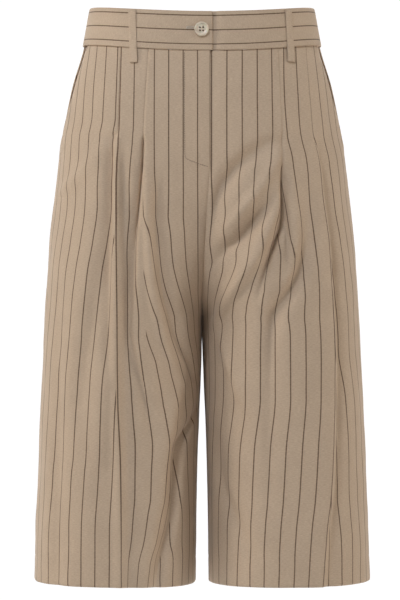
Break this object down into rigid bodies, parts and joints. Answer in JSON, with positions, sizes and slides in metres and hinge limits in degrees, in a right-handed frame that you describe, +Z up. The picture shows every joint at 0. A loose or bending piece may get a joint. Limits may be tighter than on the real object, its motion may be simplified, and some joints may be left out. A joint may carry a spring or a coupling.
{
  "type": "bermuda shorts",
  "caption": "Knee-length wide-leg shorts in pinstriped suiting, with stitched-down pleats, slanted pockets, belt loops and a buttoned waistband over a covered fly.",
  "frame": {"origin": "centre of the waist opening, level with the waistband's top edge at the side seams", "axes": "+Z up out of the waist, -Y out of the front, +X to the wearer's left"},
  "size_m": [0.3952, 0.2444, 0.682],
  "materials": {
    "suiting": "fine worsted weave, slightly lustrous, with dark brown pinstripes",
    "button": "semi-gloss, mottled like horn"
  },
  "bodies": {
    "root": {"front_right": "suiting", "front_left": "suiting", "back_right": "suiting", "back_left": "suiting", "pocket_side_right": "suiting", "pocket_side_left": "suiting", "fly_underlap": "suiting", "waistband_right": "suiting", "waistband_left": "suiting", "belt_loop_front_right": "suiting", "belt_loop_front_left": "suiting", "belt_loop_side_right": "suiting", "belt_loop_side_left": "suiting", "belt_loop_back": "suiting", "button": "button"}
  },
  "joints": []
}
